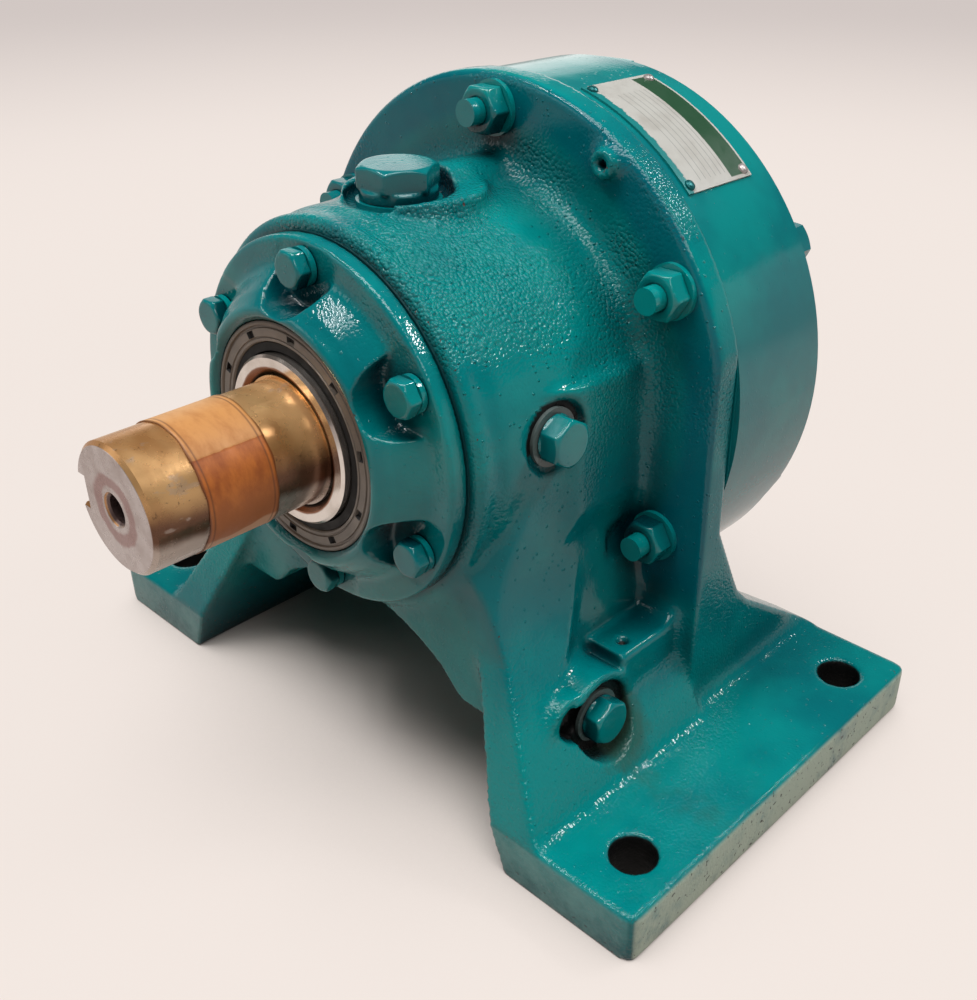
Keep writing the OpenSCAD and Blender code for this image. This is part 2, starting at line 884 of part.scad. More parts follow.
// Shaft with its carrier flange, as [radius, y].
function output_profile() = [
    [0, output_end_y], [output_r - 1.5, output_end_y], [output_r, output_end_y + 1.5],
    [output_r, -103], [24.9, -103], [24.9, -75.5], [27.5, -75.5], [27.5, -54], [31, -54],
    [31, -33], [34, -33], [34, -30], [32.5, -30], [32.5, -7], [38, -7], [38, -3], [64, -3],
    [66, -1], [66, 12], [26, 12], [26, -3.9], [21, -3.9], [21, -9], [0, -9]
];

module output_shaft() {
    flat = output_r - 6.4;
    color(shaft_steel)
        difference() {
            on_axis()
                rotate([0, seam_turn, 0])
                    lathe(output_profile());
            // Open-ended keyway
            translate([-output_r - past, output_end_y - past, axis_height - output_key_w / 2])
                cube([output_r + past - flat, 54, output_key_w]);
            translate([-flat, output_end_y + 53, axis_height])
                rotate([0, -90, 0])
                    cylinder(r = output_key_w / 2, h = 10, $fn = small);
            // Centre hole with its countersink
            on_axis()
                lathe([[0, output_end_y - past], [6.5, output_end_y - past], [6.5, output_end_y],
                       [5.1, output_end_y + 1.4], [5.1, output_end_y + 28],
                       [0, output_end_y + 31]], small);
            around(output_pins_n, output_pitch_r, 22.5)
                rod(6, -4, 13);
        }
}

module output_collar() {
    color(steel)
        on_axis()
            lathe([[24.95, -75.5], [32.6, -75.5], [32.6, -103], [31.6, -104], [27.6, -104],
                   [24.95, -101.6]]);
}

module output_pins() {
    color(steel)
        around(output_pins_n, output_pitch_r, 22.5)
            rod(6, -2.5, disc_end_y + 1.2);
}

module output_rollers() {
    color(dark_steel)
        around(output_pins_n, output_pitch_r, 22.5)
            ring(output_roller_r, 6.1, 12.6, disc_end_y + 0.8, small);
}

// Ring that keeps the two discs apart; it rides on the output rollers.
module disc_spacer() {
    y0 = disc_a_y + disc_t + 0.15;
    color(dark_steel)
        difference() {
            on_axis()
                ring(63.5, 41, y0, y0 + spacer_t - 0.3);
            around(output_pins_n, output_pitch_r, 22.5)
                rod(output_roller_r + 0.05, y0 - past, y0 + spacer_t);
        }
}

// ---------------------------------------------------------------- cycloid discs

// Outline of a disc whose centre is moved towards the pin at angle 0.
function cycloid_point(t) =
    let (
        lobes = ring_pins_n - 1,
        r = ring_roller_r + disc_gap,
        psi = atan2(sin(-lobes * t),
                    ring_pitch_r / (eccentricity * ring_pins_n) - cos(-lobes * t))
    )
    [
        ring_pitch_r * cos(t) - r * cos(t + psi) - eccentricity * cos(ring_pins_n * t),
        -ring_pitch_r * sin(t) + r * sin(t + psi) + eccentricity * sin(ring_pins_n * t)
    ];

points_per_lobe = 26;
cam_r = 20;
eccentric_roller_r = 4.45;
eccentric_pitch_r = 24.5;
disc_bore_r = 29;

module cycloid_disc(y0) {
    steps = (ring_pins_n - 1) * points_per_lobe;
    hole_r = output_roller_r + eccentricity + disc_gap;
    color(steel)
        difference() {
            translate([0, y0, 0])
                rotate([-90, 0, 0])
                    linear_extrude(height = disc_t)
                        polygon([for (i = [0 : steps - 1]) cycloid_point(i * 360 / steps)]);
            rod(disc_bore_r, y0 - past, y0 + disc_t + past, big);
            for (i = [0 : output_pins_n - 1])
                rotate([0, 22.5 + i * 360 / output_pins_n, 0])
                    translate([0, 0, output_pitch_r])
                        rod(hole_r, y0 - past, y0 + disc_t + past);
        }
}

module cycloid_disc_a() {
    translate([eccentricity, 0, axis_height])
        cycloid_disc(disc_a_y);
}

module cycloid_disc_b() {
    translate([-eccentricity, 0, axis_height])
        rotate([0, 180, 0])
            cycloid_disc(disc_b_y);
}

// ---------------------------------------------------------------- input body

function input_profile() = [
    [0, -7], [8.8, -7], [9.98, -5.5], [9.98, 11.6], [13, 11.6], [13, 60.4], [17, 60.4], [17, 69],
    [15, 69], [15, 86], [14, 86], [14, end_hub_y + 2], [input_r, end_hub_y + 2],
    [input_r, input_end_y - 1], [input_r - 1, input_end_y], [0, input_end_y]
];

module input_shaft() {
    color(steel)
        difference() {
            on_axis()
                rotate([0, seam_turn, 0])
                    lathe(input_profile(), small);
            // Keyway for the cam
            translate([-3, 24, axis_height + 10])
                cube([6, 32, 5]);
            // Keyway of the extension
            translate([-input_key_w / 2, input_end_y - 32, axis_height + input_r - 3.5])
                cube([input_key_w, 32 + past, 5]);
            translate([0, input_end_y - 32, axis_height + input_r - 3.5])
                cylinder(r = input_key_w / 2, h = 5, $fn = small);
            // Centre hole and the groove of the cam's retaining ring
            on_axis()
                lathe([[0, input_end_y - 18], [2.5, input_end_y - 17], [2.5, input_end_y - 1.5],
                       [4, input_end_y], [4, input_end_y + past], [0, input_end_y + past]], 32);
            on_axis()
                ring(14, 12, 19.4, 20.9);
        }
}

// Double eccentric, one journal for each disc, with a rim between and at each end.
module eccentric_cam() {
    color(steel)
        difference() {
            union() {
                translate([eccentricity, 0, axis_height])
                    rod(cam_r, disc_a_y - 0.6, disc_a_y + disc_t + 0.6, big);
                translate([-eccentricity, 0, axis_height])
                    rod(cam_r, disc_b_y - 0.6, disc_b_y + disc_t + 0.6, big);
                on_axis()
                    rod(22.9, disc_a_y + disc_t + 0.6, disc_b_y - 0.6, big);
                on_axis()
                    rod(16, 21, disc_end_y + 1.9, big);
            }
            on_axis()
                rod(13.02, 20, 62, big);
            translate([-3, 20, axis_height + 10])
                cube([6, 42, 5.8]);
        }
}

module cam_key() {
    color(dark_steel)
        translate([-3, 24, axis_height + 10])
            cube([6, 32, 5.7]);
}

module cam_retaining_ring() {
    color(dark_steel)
        on_axis()
            difference() {
                ring(17, 12.05, 19.5, 20.8, small);
                translate([-3, 19, -18])
                    cube([6, 3, 8]);
            }
}

// ---------------------------------------------------------------- eccentric roller bearings

eccentric_rollers_n = 14;

module eccentric_rollers(y0) {
    color(steel)
        for (i = [0 : eccentric_rollers_n - 1])
            rotate([0, i * 360 / eccentric_rollers_n, 0])
                translate([0, 0, eccentric_pitch_r])
                    rod(eccentric_roller_r, y0 + 2, y0 + disc_t - 2, 32);
}

module eccentric_cage(y0) {
    color(bronze)
        difference() {
            ring(26.6, 22.4, y0 + 0.4, y0 + disc_t - 0.4);
            for (i = [0 : eccentric_rollers_n - 1])
                rotate([0, i * 360 / eccentric_rollers_n, 0])
                    translate([0, 0, eccentric_pitch_r])
                        rod(eccentric_roller_r + 0.1, y0 + 1.9, y0 + disc_t - 1.9, 32);
        }
}

module eccentric_rollers_a() {
    translate([eccentricity, 0, axis_height])
        eccentric_rollers(disc_a_y);
}

module eccentric_cage_a() {
    translate([eccentricity, 0, axis_height])
        eccentric_cage(disc_a_y);
}

module eccentric_rollers_b() {
    translate([-eccentricity, 0, axis_height])
        eccentric_rollers(disc_b_y);
}

module eccentric_cage_b() {
    translate([-eccentricity, 0, axis_height])
        eccentric_cage(disc_b_y);
}

// ---------------------------------------------------------------- nodes

casing();
output_cover();
cover_gasket();
cover_bolts();
cover_spring_washers();
output_seal_case();
output_seal_lip();
output_seal_spring();
front_bearing_outer_ring();
rear_bearing_outer_ring();
rear_bearing_snap_ring();
ring_gear_housing();
ring_pins();
ring_rollers();
front_gasket();
rear_gasket();
end_cover();
through_bolts();
through_bolt_nuts();
through_bolt_washers();
fill_plug();
fill_plug_washer();
level_plug();
level_plug_washer();
drain_plug();
drain_plug_washer();
input_bearing_outer_ring();
input_bearing_snap_ring();
input_seal();
nameplate();
nameplate_rivets();
output_shaft();
output_collar();
output_pins();
output_rollers();
front_bearing_inner_ring();
rear_bearing_inner_ring();
pilot_bearing_outer_ring();
disc_spacer();
input_shaft();
eccentric_cam();
cam_key();
input_bearing_inner_ring();
pilot_bearing_inner_ring();
cam_retaining_ring();
cycloid_disc_a();
cycloid_disc_b();
front_bearing_cage();
front_bearing_balls();
rear_bearing_cage();
rear_bearing_balls();
pilot_bearing_cage();
pilot_bearing_balls();
input_bearing_cage();
input_bearing_balls();
eccentric_cage_a();
eccentric_rollers_a();
eccentric_cage_b();
eccentric_rollers_b();
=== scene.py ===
import json
import math
import bmesh
import bpy
import numpy as np
from mathutils import Matrix, Vector


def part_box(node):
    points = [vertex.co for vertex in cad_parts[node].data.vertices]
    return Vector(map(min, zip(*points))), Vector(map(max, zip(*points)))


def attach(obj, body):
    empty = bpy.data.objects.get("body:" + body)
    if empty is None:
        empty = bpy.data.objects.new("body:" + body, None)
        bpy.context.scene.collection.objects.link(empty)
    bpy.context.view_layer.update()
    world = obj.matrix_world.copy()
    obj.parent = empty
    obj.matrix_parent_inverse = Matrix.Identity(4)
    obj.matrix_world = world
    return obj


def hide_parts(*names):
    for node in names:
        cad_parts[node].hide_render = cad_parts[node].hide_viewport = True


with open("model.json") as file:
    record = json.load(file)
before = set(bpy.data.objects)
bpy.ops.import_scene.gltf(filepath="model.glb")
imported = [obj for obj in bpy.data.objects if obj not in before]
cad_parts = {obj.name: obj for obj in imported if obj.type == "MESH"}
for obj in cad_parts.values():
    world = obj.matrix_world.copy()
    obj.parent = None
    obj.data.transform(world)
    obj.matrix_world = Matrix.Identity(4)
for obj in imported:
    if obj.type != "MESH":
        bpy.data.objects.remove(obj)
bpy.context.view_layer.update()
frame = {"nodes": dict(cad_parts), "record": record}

NODES = frame["nodes"]
SCENE = bpy.context.scene
SUBPARTS = {part["node"]: part for part in frame["record"]["subparts"]}
BODY_OF = {node: body for body, nodes in frame["record"]["behaviour"]["bodies"].items()
           for node in nodes}

# Places worked out from the frame, in metres. The shafts lie along Y at x = 0.
SHAFT_LOW, SHAFT_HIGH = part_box("output_shaft")
CASE_LOW, CASE_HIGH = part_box("output_seal_case")
CASING_LOW, CASING_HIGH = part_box("casing")
PLATE_LOW, PLATE_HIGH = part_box("nameplate")
AXIS_Z = (SHAFT_LOW.z + SHAFT_HIGH.z) / 2
FOOT_END = -CASING_LOW.y
FOOT_SIDE = CASING_HIGH.x
DRAIN_PLACE = sum(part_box("drain_plug_washer"), Vector()) / 2

# Sizes that the part's source has too, in metres
OUTPUT_R = 0.02381
BARREL_R = 0.078
FLANGE_R = 0.115
FLANGE_FRONT = 0.0062
FOOT_TOP = 0.022
FOOT_HOLE = (0.145, 0.0725)
FOOT_HOLE_R = 0.009
LEDGE_TOP = 0.065

# Painted skins: what stays as it was cut while inner corners are filled, in metres
CASING_SHARP_R = 0.07
COVER_SHARP_R = 0.051
LEDGE_BOX = ((0.084, -0.034, 0.050), (0.108, 0.004, 0.068))
PLUG_WASHERS = ("fill_plug_washer", "level_plug_washer", "drain_plug_washer")
PLUG_SEAT_REACH = 0.006

# Painted shade in recesses: how far each washer's seat, coloured near black, spreads past it
# and how deep it goes, and the centre and radius of the punched mark on each ledge, in metres
SEAT_MARGIN = {"level_plug_washer": 0.0025, "drain_plug_washer": 0.0065}
SEAT_DEPTH = 0.016
LEDGE_MARK = (0.0956, -0.0215)
LEDGE_MARK_R = 0.0014

# Paper wrap: its seam's angle from straight up in degrees, and its two edges along Y
WRAP_SEAM = 47.0
WRAP_Y = (-0.1523, -0.1245)

# Optics: the casing paint's index, and levels of the floor's and the world's own light
PAINT_IOR = 1.37
MIRRORED_GLOW = 0.7
WORLD_LIGHT = 0.05
WORLD_MIRRORED = 0.06

# Lamps: name, place and size in metres, power in watts, colour. All aim at LAMP_TARGET.
LAMP_TARGET = (0, 0, 0.12)
LAMPS = (
    ("ceiling", (0.15, -0.25, 1.5), (1.0, 0.6), 13.0, (1.0, 0.985, 0.97)),
    ("back_panel", (-1.5, 1.3, 0.6), (1.6, 0.7), 2.8, (1.0, 0.99, 0.97)),
    ("window", (0.62, 0.82, 1.22), (0.34, 0.14), 7.0, (0.98, 0.99, 1.0)),
    ("top_strip", (-0.45, -0.45, 1.35), (1.0, 0.04), 6.0, (1.0, 1.0, 1.0)),
    ("front_left", (-1.0, -1.2, 0.9), (0.8, 0.5), 1.8, (1.0, 0.98, 0.96)),
    ("right", (1.2, -0.5, 1.3), (0.9, 0.4), 5.0, (1.0, 0.98, 0.96)),
)

# Camera: place in metres, and turn, lift and roll in degrees
CAMERA_PLACE = (0.32074, -0.31828, 0.34177)
CAMERA_TURNS = (42.998, 30.266, 0.357)


# ---------------------------------------------------------------- node helpers

def srgb(r, g, b):
    """Linear colour for an sRGB triple of 0 to 255."""
    return tuple((c / 255 / 12.92) if c <= 10 else ((c / 255 + 0.055) / 1.055) ** 2.4
                 for c in (r, g, b))


class Tree:
    """Short hand for building one material's nodes."""

    def __init__(self, name):
        self.mat = bpy.data.materials.new(name)
        self.mat.use_nodes = True
        self.tree = self.mat.node_tree
        self.tree.nodes.clear()
        self.out = self.tree.nodes.new("ShaderNodeOutputMaterial")
        self.shader = self.tree.nodes.new("ShaderNodeBsdfPrincipled")
        self.link(self.shader.outputs[0], self.out.inputs["Surface"])
        self.coord = self.tree.nodes.new("ShaderNodeTexCoord").outputs["Object"]

    def link(self, a, b):
        self.tree.links.new(a, b)

    def put(self, socket, value):
        """Links a socket, or sets a number or a colour."""
        if isinstance(value, bpy.types.NodeSocket):
            self.link(value, socket)
        elif isinstance(value, (int, float)):
            socket.default_value = value
        else:
            socket.default_value = (*value[:3], 1.0)

    def set(self, **values):
        """Sets the shader's sockets: base_color, roughness, normal, ior and so on."""
        names = {"ior": "IOR", "specular_ior_level": "Specular IOR Level"}
        for key, value in values.items():
            self.put(self.shader.inputs[names.get(key, key.replace("_", " ").title())], value)

    def noise(self, scale, detail=3.0, rough=0.55, coord=None):
        node = self.tree.nodes.new("ShaderNodeTexNoise")
        node.inputs["Scale"].default_value = scale
        node.inputs["Detail"].default_value = detail
        node.inputs["Roughness"].default_value = rough
        self.link(coord or self.coord, node.inputs["Vector"])
        return node.outputs["Fac"]

    def voronoi(self, scale):
        """Distance to the nearest of many scattered points."""
        node = self.tree.nodes.new("ShaderNodeTexVoronoi")
        node.inputs["Scale"].default_value = scale
        self.link(self.coord, node.inputs["Vector"])
        return node.outputs["Distance"]

    def attribute(self, name):
        node = self.tree.nodes.new("ShaderNodeAttribute")
        node.attribute_name = name
        return node.outputs["Fac"]

    def occlusion(self, reach, samples=8):
        """1 in the open, 0 deep in a corner, within a reach in metres."""
        node = self.tree.nodes.new("ShaderNodeAmbientOcclusion")
        node.samples = samples
        node.inputs["Distance"].default_value = reach
        return node.outputs["AO"]

    def uneven(self, noise, low, high):
        """Roughness that wanders from low to high with a noise."""
        node = self.tree.nodes.new("ShaderNodeValToRGB")
        for element, place, grey in zip(node.color_ramp.elements, (0.3, 0.7), (low, high)):
            element.position = place
            element.color = (grey, grey, grey, 1.0)
        self.link(noise, node.inputs["Fac"])
        return node.outputs["Color"]

    def step(self, value, low, high):
        """0 below low, 1 above high, smooth between; low may be the greater."""
        node = self.tree.nodes.new("ShaderNodeMapRange")
        node.interpolation_type = "SMOOTHSTEP"
        for name, number in (("From Min", low), ("From Max", high)):
            node.inputs[name].default_value = number
        self.link(value, node.inputs["Value"])
        return node.outputs["Result"]

    def mix(self, fac, a, b):
        node = self.tree.nodes.new("ShaderNodeMix")
        node.data_type = "RGBA"
        sockets = [s for s in node.inputs if s.enabled]
        for socket, value in zip(sockets, (fac, a, b)):
            self.put(socket, value)
        return [s for s in node.outputs if s.enabled][0]

    def math(self, operation, a, b=0.0):
        node = self.tree.nodes.new("ShaderNodeMath")
        node.operation = operation
        self.put(node.inputs[0], a)
        self.put(node.inputs[1], b)
        return node.outputs[0]

    def times(self, first, *others):
        """Product of sockets and numbers."""
        for value in others:
            first = self.math("MULTIPLY", first, value)
        return first

    def plus(self, first, *others):
        """Sum of sockets and numbers."""
        for value in others:
            first = self.math("ADD", first, value)
        return first

    def most(self, first, *others):
        """Greatest of sockets and numbers."""
        for value in others:
            first = self.math("MAXIMUM", first, value)
        return first

    def wavy(self, value, noise, reach):
        """A value shifted by a noise, by up to a reach."""
        return self.plus(value, self.times(noise, reach))

    def band(self, value, rise, fall):
        """1 inside a band that rises between two values and falls between two greater ones."""
        return self.times(self.step(value, *rise), self.step(value, fall[1], fall[0]))

    def tint(self, base, colour, mask, share):
        """Lays a colour over a base where a mask is 1, by a share."""
        return self.mix(self.times(mask, share), base, colour)

    def patches(self, noise, span, first, second):
        """Patches of two colours that meet where a noise passes through a span."""
        return self.mix(self.step(noise, *span), first, second)

    def length(self, a, b):
        return self.math("SQRT", self.plus(self.times(a, a), self.times(b, b)))

    def distance(self, a, b, point):
        """Distance of two coordinates from a point."""
        return self.length(self.math("SUBTRACT", a, point[0]),
                           self.math("SUBTRACT", b, point[1]))

    def stretched(self, x, y, z):
        """Coordinates scaled along each axis, for a streaky texture."""
        node = self.tree.nodes.new("ShaderNodeMapping")
        node.inputs["Scale"].default_value = (x, y, z)
        self.link(self.coord, node.inputs["Vector"])
        return node.outputs["Vector"]

    def xyz(self):
        split = self.tree.nodes.new("ShaderNodeSeparateXYZ")
        self.link(self.coord, split.inputs[0])
        return split.outputs

    def round_shaft(self):
        """Angle from straight up towards +X in degrees, place along Y and radius in metres."""
        x, y, z = self.xyz()
        rise = self.math("SUBTRACT", z, AXIS_Z)
        angle = self.times(self.math("ARCTAN2", x, rise), 180 / math.pi)
        return angle, y, self.length(x, rise)

    def glow(self, colour, share):
        """Shows a colour of its own, by a share, to the camera and in reflections."""
        path = self.tree.nodes.new("ShaderNodeLightPath")
        mirrored = self.most(path.outputs["Is Glossy Ray"], path.outputs["Is Transmission Ray"])
        seen = self.most(path.outputs["Is Camera Ray"], self.times(mirrored, MIRRORED_GLOW))
        emission = self.tree.nodes.new("ShaderNodeEmission")
        self.put(emission.inputs["Color"], colour)
        blend = self.tree.nodes.new("ShaderNodeMixShader")
        self.put(blend.inputs[0], self.times(seen, share))
        self.link(self.shader.outputs[0], blend.inputs[1])
        self.link(emission.outputs[0], blend.inputs[2])
        self.link(blend.outputs[0], self.out.inputs["Surface"])

    def bump(self, height, distance, strength=1.0, normal=None):
        node = self.tree.nodes.new("ShaderNodeBump")
        node.inputs["Strength"].default_value = strength
        node.inputs["Distance"].default_value = distance
        self.link(height, node.inputs["Height"])
        if normal is not None:
            self.link(normal, node.inputs["Normal"])
        return node.outputs["Normal"]


# ---------------------------------------------------------------- enamel

def enamel(t, chips, corner_shade):
    """Colour and roughness of the teal enamel, chipped to brown iron along its edges, with
    painted shade in its inner corners and recesses.
    """
    base = t.patches(t.noise(13.0, 4.0, 0.6), (0.36, 0.64), srgb(0, 112, 118),
                     srgb(2, 138, 137))
    # Painted shade: darker, bluer paint in the filled inner corners
    base = t.tint(base, srgb(0, 100, 108), t.attribute("hollow"), 0.4)
    # Painted shade: darker, bluer paint where the occlusion node finds corners and recesses
    if corner_shade:
        corner = t.step(t.occlusion(0.04), 0.95, 0.25)
        base = t.tint(base, srgb(0, 40, 50), corner, corner_shade)
    nick = t.plus(t.noise(330.0, 3.0, 0.7), t.times(t.attribute("proud"), 0.10))
    nick = t.wavy(nick, t.step(t.noise(24.0), 0.46, 0.62), 0.06)
    chip = t.times(t.step(nick, 0.775, 0.80), chips)
    rough = t.uneven(t.noise(60.0, 2.0), 0.06, 0.15)
    return t.mix(chip, base, srgb(74, 48, 40)), t.mix(chip, rough, (0.7, 0.7, 0.7))


def skin_relief(t, pebble, wave):
    """Bump of the paint: slow waves and a fine cast grain, with depths in millimetres."""
    millimetre = 0.001
    swell = t.bump(t.noise(60.0, 1.0), millimetre * wave)
    cell = t.voronoi(780.0)
    grain = t.wavy(t.times(cell, cell, -1.2), t.noise(420.0, 2.0), 0.7)
    grain = t.times(grain, t.plus(t.step(t.noise(16.0, 2.0), 0.38, 0.60), 0.12))
    dots = t.times(t.step(t.voronoi(280.0), 0.18, 0.05), 0.17)
    dots = t.times(dots, t.plus(t.times(pebble, 8.0), 0.1))
    return t.bump(t.plus(t.times(grain, pebble), dots), millimetre, 1.0, swell)


def paint(name, pebble, wave, chips, ior, corner_shade=1.0):
    t = Tree(name)
    base, rough = enamel(t, chips, corner_shade)
    t.set(base_color=base, roughness=rough, ior=ior, normal=skin_relief(t, pebble, wave))
    return t.mat


# ---------------------------------------------------------------- the casing's enamel

def cast_grain(t, z, high_up):
    """Depth of the grain: coarse on the barrel's right side, light on the rim and at bends."""
    angle, _, radius = t.round_shaft()
    right_side = t.band(t.wavy(angle, t.noise(30.0), 30.0), (5.0, 45.0), (50.0, 112.0))
    barrel = t.times(t.step(radius, BARREL_R + 0.022, BARREL_R + 0.012),
                     t.step(z, 0.095, 0.135), t.plus(t.times(right_side, 0.8), 0.12))
    rim = t.band(radius, (FLANGE_R - 0.007, FLANGE_R - 0.003),
                 (FLANGE_R + 0.0008, FLANGE_R + 0.0015))
    bends = t.most(t.attribute("proud"), t.attribute("hollow"))
    edges = t.most(t.times(high_up, rim, 0.13), t.times(bends, 0.09))
    return t.plus(0.10, edges, t.times(barrel, 0.55))


def flange_face(t, y, high_up):
    """1 on the big flange's front face."""
    radius = t.round_shaft()[2]
    ahead = t.band(y, (FLANGE_FRONT - 0.0027, FLANGE_FRONT - 0.0007),
                   (FLANGE_FRONT + 0.0008, FLANGE_FRONT + 0.0023))
    return t.times(high_up, ahead, t.step(radius, FLANGE_R - 0.021, FLANGE_R - 0.013))


def recess_shade(t, across, y, z):
    """Painted shade: 1 inside the foot holes, whose walls are bare iron, at the ledges' marks
    and on the sunk plugs' seats, all coloured near black.
    """
    from_hole = t.distance(across, t.math("ABSOLUTE", y), FOOT_HOLE)
    hole = t.times(t.step(from_hole, FOOT_HOLE_R + 0.0010, FOOT_HOLE_R + 0.0004),
                   t.step(z, FOOT_TOP - 0.0005, FOOT_TOP - 0.0015))
    from_mark = t.distance(across, y, LEDGE_MARK)
    mark = t.times(t.step(from_mark, LEDGE_MARK_R + 0.0002, LEDGE_MARK_R - 0.0002),
                   t.band(z, (LEDGE_TOP - 0.007, LEDGE_TOP - 0.005),
                          (LEDGE_TOP + 0.003, LEDGE_TOP + 0.005)))
    return t.most(hole, mark, t.attribute("seat"))


def foot_scuffs_and_sheen(t, across, y, z):
    """The feet's upright sides, and the scuffs and painted reflection of the pale floor on them
    and on the feet's ends.
    """
    upright = t.step(z, FOOT_TOP - 0.0005, FOOT_TOP - 0.0025)
    side = t.times(upright, t.step(across, FOOT_SIDE - 0.0015, FOOT_SIDE - 0.0005))
    end = t.times(upright, t.step(t.math("ABSOLUTE", y), FOOT_END - 0.0012, FOOT_END - 0.0004))
    side_scuff_and_sheen = t.times(side, t.step(t.noise(70.0, 4.0, 0.7), 0.15, 0.55))
    end_scuff_and_sheen = t.times(end, t.step(t.noise(55.0, 4.0, 0.7), 0.2, 0.7))
    return side, side_scuff_and_sheen, end_scuff_and_sheen


def iron_specks(t, side, z):
    """1 on specks down to the iron, on the feet's sides and low down."""
    low_down = t.times(t.step(z, 0.012, 0.001), 0.8)
    return t.times(t.step(t.noise(420.0, 2.0, 0.6), 0.64, 0.68), t.most(side, low_down))


def drain_stain(t, x, y, z):
    """1 where old oil has run from the drain plug."""
    spread = t.distance(y, z, (DRAIN_PLACE.y + 0.006, DRAIN_PLACE.z - 0.006))
    spread = t.wavy(spread, t.noise(140.0, 3.0), 0.012)
    return t.times(t.step(spread, 0.025, 0.015), t.step(x, 0.08, 0.085))


def casing_paint(name):
    """Enamel over the casing: coarse grain on the barrel, bare bores and seats painted near
    black as shade, and scuffed feet with painted reflection of the floor.
    """
    t = Tree(name)
    base, rough = enamel(t, 1.0, 1.0)
    x, y, z = t.xyz()
    across = t.math("ABSOLUTE", x)
    high_up = t.step(z, 0.070, 0.085)
    # Painted shade: the big flange's front face is tinted a darker, bluer teal
    base = t.tint(base, srgb(0, 90, 108), flange_face(t, y, high_up), 0.6)
    side, side_scuff_and_sheen, end_scuff_and_sheen = foot_scuffs_and_sheen(t, across, y, z)
    # Scuffs, paler than the paint, and painted reflection of the pale floor on the feet's sides
    # and ends
    base = t.tint(base, srgb(184, 196, 178), side_scuff_and_sheen, 0.9)
    base = t.tint(base, srgb(120, 172, 168), end_scuff_and_sheen, 0.55)
    base = t.tint(base, srgb(58, 66, 40), drain_stain(t, x, y, z), 0.55)
    base = t.tint(base, srgb(40, 36, 32), iron_specks(t, side, z), 0.9)
    # Painted shade: near black in the foot holes, at the ledges' marks and on the plug seats
    dark = recess_shade(t, across, y, z)
    t.set(base_color=t.mix(dark, base, srgb(4, 5, 5)),
          roughness=t.mix(t.most(dark, side_scuff_and_sheen), rough, (0.55, 0.55, 0.55)), ior=PAINT_IOR,
          normal=skin_relief(t, cast_grain(t, z, high_up), 0.4))
    return t.mat


# ---------------------------------------------------------------- other materials

def metal(name, colour, rough):
    t = Tree(name)
    dark = tuple(c * 0.72 for c in colour)
    t.set(base_color=t.patches(t.noise(40.0, 4.0), (0.3, 0.7), dark, colour), metallic=1.0,
          roughness=t.uneven(t.noise(120.0), rough * 0.8, rough * 1.3),
          normal=t.bump(t.noise(900.0), 0.0001, 0.2))
    return t.mat


def rivet_metal(name):
    """Bare rivets at the plate's rear edge; the front pair went under the overspray."""
    t = Tree(name)
    bare = t.patches(t.noise(300.0), (0.35, 0.7), srgb(150, 142, 140), srgb(186, 178, 176))
    middle = (PLATE_LOW.y + PLATE_HIGH.y) / 2
    sprayed = t.step(t.xyz()[1], middle + 0.002, middle - 0.002)
    t.set(base_color=t.mix(sprayed, bare, srgb(0, 96, 98)), metallic=0.5,
          roughness=t.uneven(t.noise(400.0), 0.28, 0.42),
          normal=t.bump(t.noise(900.0), 0.0001, 0.2))
    return t.mat


def dull(name, colour, rough):
    t = Tree(name)
    dark = tuple(c * 0.7 for c in colour)
    t.set(base_color=t.patches(t.noise(60.0, 4.0), (0.3, 0.7), dark, colour),
          roughness=t.uneven(t.noise(150.0), rough * 0.85, rough * 1.1),
          normal=t.bump(t.noise(600.0), 0.0001, 0.3))
    return t.mat


def oil_film(t, angle):
    """Old yellow rust preventive, wiped off in places; the lower side is brown for old oil and
    painted shade, and a pale band low down is painted reflection of the floor.
    """
    streak = t.noise(26.0, 3.0, 0.55, t.stretched(1.0, 1.4, 1.0))
    film = t.patches(streak, (0.35, 0.68), srgb(232, 184, 126), srgb(190, 134, 80))
    # Brown oil and painted shade on the shaft's lower side
    oil_and_shade_below = t.step(t.wavy(angle, streak, 22.0), 72.0, 100.0)
    film = t.mix(oil_and_shade_below, film, srgb(104, 70, 50))
    wiped = t.step(t.noise(85.0, 4.0, 0.7, t.stretched(1.0, 0.5, 1.0)), 0.60, 0.65)
    # Painted reflection: a pale band of the floor low on the shaft
    floor_reflection = t.step(t.wavy(angle, streak, 26.0), 112.0, 126.0)
    pale = t.most(t.times(wiped, 0.35), t.times(floor_reflection, 0.9))
    film = t.mix(pale, film, srgb(196, 180, 168))
    spots = t.step(t.noise(420.0, 3.0, 0.7), 0.64, 0.70)
    return t.tint(film, srgb(70, 44, 30), spots, 0.6)


def end_steel(t, radius, bore):
    """Pale steel of the end face, with a ring of stain round the centre hole and painted shade
    inside the hole.
    """
    wobble = t.wavy(radius, t.noise(90.0, 4.0), 0.006)
    stain = t.band(wobble, (0.0105, 0.0120), (0.0150, 0.0165))
    steel = t.patches(t.noise(70.0, 4.0, 0.7), (0.35, 0.7), srgb(206, 194, 190),
                      srgb(178, 162, 156))
    steel = t.tint(steel, srgb(150, 104, 98), stain, 0.75)
    # Painted shade: dark inside the centre hole
    return t.tint(steel, srgb(64, 26, 22), bore, 0.8)


